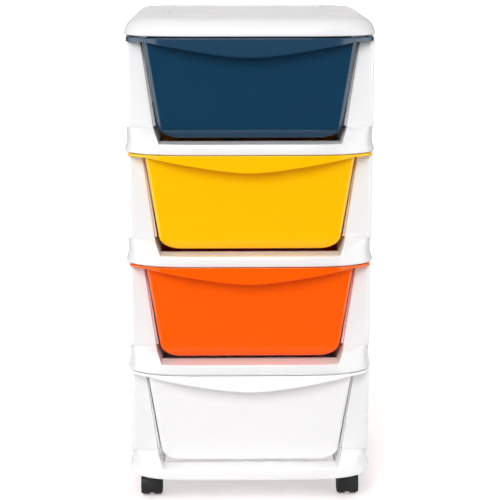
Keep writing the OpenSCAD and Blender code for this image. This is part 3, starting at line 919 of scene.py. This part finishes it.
def hood_boss():
    """The round boss that holds the stem, standing on the guard."""
    sink, root, soft, bore_depth = 0.6, 1.6, 0.8, 6
    rows = []
    angles = np.linspace(0, 2 * math.pi, 48, endpoint=False)
    for f in np.concatenate([np.linspace(0, 0.5, 6), np.linspace(0.6, 1, 4)]):
        row = []
        for a in angles:
            x, y = math.cos(a), math.sin(a)
            foot = WHEEL_R + math.sqrt(HOOD_R[1] ** 2 - (BOSS_R * y - TRAIL) ** 2) - sink
            spread = BOSS_R + root * quarter(1 - f / 0.35)
            row.append((spread * x, spread * y, mix(foot, BOSS_Z - soft, f)))
        rows.append(row)
    for a in turn(3)[1:]:
        r = BOSS_R - soft * (1 - math.cos(a))
        z = BOSS_Z - soft + soft * math.sin(a)
        rows.append([(r * math.cos(b), r * math.sin(b), z) for b in angles])
    for r, z in ((STEM_R + 0.8, BOSS_Z), (STEM_R, BOSS_Z), (STEM_R, BOSS_Z - bore_depth)):
        rows.append([(r * math.cos(b), r * math.sin(b), z) for b in angles])
    skin = Skin()
    skin.grid(rows, wrap=True)
    skin.grid([[(0.0, 0.0, BOSS_Z - bore_depth)] * len(angles), rows[-1]], wrap=True)
    return skin.mesh("boss")


def wheel_mesh():
    """One wheel of a pair, its axle along z and its inner face at 0: tread, dished face, cap and
    inner ribs."""
    soft, cup, bore = 5, 5.0, 2.05
    shoulder = [(WHEEL_R - soft * (1 - math.cos(a)), WHEEL_W - soft + soft * math.sin(a)) for a in turn(10)]
    face = WHEEL_W - 1.6
    inner_face = [(bore, 0.4), (bore + 0.4, 0), (5.2, 0), (5.5, 0.3), (5.5, cup), (16.6, cup), (16.9, 0.3),
                  (17.2, 0), (WHEEL_R - 0.9, 0), (WHEEL_R - 0.3, 0.3), (WHEEL_R, 0.9)]
    outer_face = [(14.6, WHEEL_W - 0.1), (14.2, WHEEL_W - 0.6), (13.6, face), (8.2, face + 0.1),
                  (7.6, face + 0.4), (7.0, WHEEL_W - 1.0), (6.2, WHEEL_W - 0.5), (4.0, WHEEL_W - 0.2),
                  (0.0, WHEEL_W - 0.1), (0.0, WHEEL_W - 1.5), (bore, WHEEL_W - 1.5)]
    body = lathe(inner_face + shoulder + outer_face, 72)
    rib = slab((5.2, -0.6, 0.6), (16.8, 0.6, cup + 0.3), 0.2)
    ribs = repeated(rib, RING, wheel_plastic, Count=8, Axis=(0.0, 0.0, 1.0))
    return joined("wheel", [body, ribs])


hood_mesh = joined("hood", [fender(), hood_web(), hood_boss()])
wheel = wheel_mesh()
for corner, x, y in stem_places():
    stand = at(x, FRONT_Y + y, 0)
    outward = 1 if x > 0 else -1
    piece(f"{corner}_fork", hood_mesh, stand, caster_plastic, f"{corner}_caster", "caster_plastic",
          f"{corner}_caster_hood")
    for which, sign in (("inner", -outward), ("outer", outward)):
        lie = Matrix.Rotation(math.radians(90 * sign), 4, "Y")
        place = stand @ at(0, TRAIL, WHEEL_R) @ lie @ at(0, 0, WHEEL_GAP / 2)
        piece(f"{corner}_{which}_roller", wheel, place, wheel_plastic, f"{corner}_{which}_wheel",
              "wheel_plastic", f"{corner}_caster_{which}_wheel")
    for part in ("stem", "axle"):
        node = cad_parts[f"{corner}_caster_{part}"]
        node.data.materials.clear()
        node.data.materials.append(pin_steel)


# ---- stage, light and camera --------------------------------------------------------------------
def sweep_finish():
    """Pale paper that the camera sees as white, away from the tower's soft shadow. Glossy plastic
    mirrors it darker, beside the tower and in front of it."""
    near, far, low_glow, high_glow = 0.35, 1.4, 0.37, 0.8
    side_start, side_end, side_dim = 0.5, 1.2, 0.7
    front_start, front_end, front_dim = -0.35, -0.7, 0.9
    finish, graph = blank_finish("studio_paper")
    place = graph.add("ShaderNodeTexCoord")["Object"]
    fibre = graph.add("ShaderNodeTexNoise", sockets={"Vector": place, "Scale": 3.0, "Detail": 2.0})[0]
    tint = graph.add("ShaderNodeMix", {"data_type": "RGBA"},
                     {"Factor": fibre, "A": (0.80, 0.785, 0.78, 1), "B": (0.82, 0.805, 0.80, 1)})
    path = graph.add("ShaderNodeLightPath")
    spot = graph.add("ShaderNodeSeparateXYZ", sockets={"Vector": place})
    aside = graph.add("ShaderNodeMapRange", {"interpolation_type": "SMOOTHSTEP"}, {
        "Value": graph.add("ShaderNodeMath", {"operation": "ABSOLUTE"}, {0: spot["X"]})[0],
        "From Min": side_start, "From Max": side_end, "To Min": 0.0, "To Max": side_dim})["Result"]
    ahead = graph.add("ShaderNodeMapRange", {"interpolation_type": "SMOOTHSTEP"}, {
        "Value": spot["Y"], "From Min": front_start, "From Max": front_end,
        "To Min": 0.0, "To Max": front_dim})["Result"]
    dimmed = graph.add("ShaderNodeMix", {"data_type": "RGBA"}, {
        "Factor": path["Is Glossy Ray"] * (aside + ahead), "A": Wire(tint.node.outputs[2]),
        "B": (0, 0, 0, 1)})
    paper = graph.add("ShaderNodeBsdfDiffuse", sockets={"Color": Wire(dimmed.node.outputs[2])})
    away = graph.add("ShaderNodeVectorMath", {"operation": "LENGTH"}, {0: place})["Value"]
    lift = graph.add("ShaderNodeMapRange", {"interpolation_type": "SMOOTHSTEP"}, {
        "Value": away, "From Min": near, "From Max": far,
        "To Min": low_glow, "To Max": high_glow})["Result"]
    glow = graph.add("ShaderNodeEmission", sockets={
        "Color": (1, 0.92, 0.905, 1), "Strength": path["Is Camera Ray"] * lift})
    both = graph.add("ShaderNodeAddShader", sockets={0: paper["BSDF"], 1: glow["Emission"]})
    graph.add("ShaderNodeOutputMaterial", sockets={"Surface": both["Shader"]})
    return finish


def studio_sweep():
    """Floor that curves up into a backdrop."""
    half, front, rear, bend, top = 5.0, -1.0, 2.6, 0.8, 4.0
    line = [(front, 0.0), (rear - bend, 0.0)]
    line += [(rear - bend + bend * math.sin(a), bend * (1 - math.cos(a))) for a in turn(16)[1:]]
    line += [(rear, top)]
    skin = Skin()
    skin.grid([[(x / MM, y / MM, z / MM) for x in (-half, half)] for y, z in line])
    mesh = skin.mesh("studio_sweep")
    mesh.polygons.foreach_set("use_smooth", [True] * len(mesh.polygons))
    mesh.materials.append(sweep_finish())
    new_object("studio_sweep", mesh)


def area_lamp(name, place, aim, size, power, mirrored=True, lighting=True):
    """A lamp that glossy plastic mirrors where mirrored is on, and that lights where lighting is on."""
    lamp = bpy.data.lights.new(name, "AREA")
    lamp.shape = "RECTANGLE"
    lamp.size, lamp.size_y = size
    lamp.energy = power
    thing = bpy.data.objects.new(name, lamp)
    bpy.context.scene.collection.objects.link(thing)
    thing.location = place
    thing.rotation_euler = (Vector(aim) - Vector(place)).to_track_quat("-Z", "Y").to_euler()
    thing.visible_camera = False
    thing.visible_glossy = mirrored
    thing.visible_diffuse = lighting


def sky(diffuse, mirror_dark, mirror_bright):
    """Surroundings that the camera sees as white. Their light is softer, and glossy plastic mirrors
    them as a room that is bright in front of the tower, above the floor, and dark elsewhere."""
    horizon, front = (-0.12, -0.05), (0.0, -0.5)
    world = bpy.data.worlds.new("studio_air")
    world.use_nodes = True
    world.node_tree.nodes.clear()
    graph = Graph(world.node_tree)
    direction = graph.add("ShaderNodeTexCoord")["Generated"]
    toward = graph.add("ShaderNodeSeparateXYZ", sockets={"Vector": direction})
    above = graph.add("ShaderNodeMapRange", sockets={
        "Value": toward["Z"], "From Min": horizon[0], "From Max": horizon[1]})["Result"]
    ahead = graph.add("ShaderNodeMapRange", sockets={
        "Value": toward["Y"], "From Min": front[0], "From Max": front[1]})["Result"]
    room = mirror_dark + above * ahead * (mirror_bright - mirror_dark)
    path = graph.add("ShaderNodeLightPath")
    strength = diffuse + path["Is Camera Ray"] * (1 - diffuse) + path["Is Glossy Ray"] * (room - diffuse)
    light = graph.add("ShaderNodeBackground", sockets={"Color": (1, 1, 1, 1), "Strength": strength})
    graph.add("ShaderNodeOutputWorld", sockets={"Surface": light["Background"]})
    bpy.context.scene.world = world


def front_camera():
    lens = bpy.data.cameras.new("camera")
    lens.lens, lens.sensor_width = 104.83, 36.0
    thing = bpy.data.objects.new("camera", lens)
    bpy.context.scene.collection.objects.link(thing)
    thing.location = (-0.036, -2.381, 0.917)
    thing.rotation_euler = (math.radians(90 - 12.71), 0, math.radians(-0.93))
    bpy.context.scene.camera = thing


studio_sweep()
sky(0.38, 0.05, 0.5)
area_lamp("key", (-0.5, -2.6, 2.2), (0, 0, 0.4), (1.8, 1.6), 66)
for x in (-1, 1):
    area_lamp("side_box", (2.4 * x, -0.9, 1.0), (0, 0, 0.4), (1.6, 2.2), 11)
    area_lamp("rear_box", (1.8 * x, 1.5, 0.7), (0, 0, 0.4), (1.2, 1.6), 20, mirrored=False)
    area_lamp("card", (0.72 * x, -0.6, 0.42), (0, -0.6, 0.42), (1.2, 0.84), 8, lighting=False)
front_camera()
bpy.context.scene.view_settings.view_transform = "Standard"
bpy.context.scene.cycles.diffuse_bounces = 12
